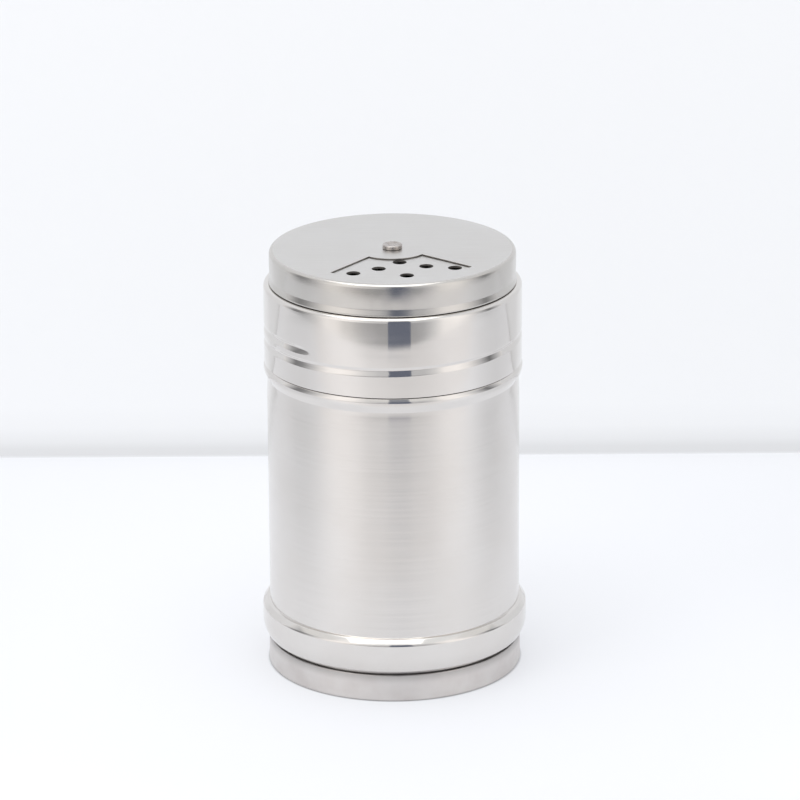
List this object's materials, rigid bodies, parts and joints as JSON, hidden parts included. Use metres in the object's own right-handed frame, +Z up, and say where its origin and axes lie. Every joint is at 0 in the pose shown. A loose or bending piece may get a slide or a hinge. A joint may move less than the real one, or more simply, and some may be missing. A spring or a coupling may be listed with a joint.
{
  "type": "spice shaker",
  "caption": "Round stainless steel seasoning shaker with a brushed can, a screw lid with a sieve top, and a rotary cap whose window selects the holes.",
  "frame": {"origin": "centre of the flat ring that the base cup stands on, on the table", "axes": "+Z up along the can's axis; -Y is the front, where the rotary cap's window points; +X to the right seen from the front"},
  "size_m": [0.0612, 0.0612, 0.1005],
  "materials": {
    "brushed_can": "fine brushed stainless steel, satin on the wall and polished on the base ring and the bead",
    "polished_lid": "mirror polished stainless steel",
    "satin_cap": "satin stainless steel with a polished skirt",
    "satin_base": "dull satin stainless steel, slightly warm",
    "rivet_steel": "plain steel, peened",
    "seal_silicone": "translucent white food-grade silicone, dull"
  },
  "bodies": {
    "can": {"can_shell": "brushed_can", "base_cup": "satin_base"},
    "seal": {"lid_seal": "seal_silicone"},
    "lid": {"screw_lid": "polished_lid", "rivet": "rivet_steel", "spring_washer": "rivet_steel", "flat_washer": "rivet_steel"},
    "cap": {"rotary_cap": "satin_cap"}
  },
  "joints": [
    {"name": "lid_lift", "type": "slide", "parent": "can", "child": "seal", "axis": [0, 0, 1], "range_m": [0, 0.018]},
    {"name": "lid_turn", "type": "hinge", "parent": "seal", "child": "lid", "pos_m": [0, 0, 0.08], "axis": [0, 0, 1], "range_deg": [0, 2160]},
    {"name": "cap_turn", "type": "hinge", "parent": "lid", "child": "cap", "pos_m": [0, 0, 0.099], "axis": [0, 0, 1], "continuous": true}
  ],
  "couplings": [
    {"joint": "lid_lift", "follows": "lid_turn", "m_per_rad": 0.00047746}
  ]
}
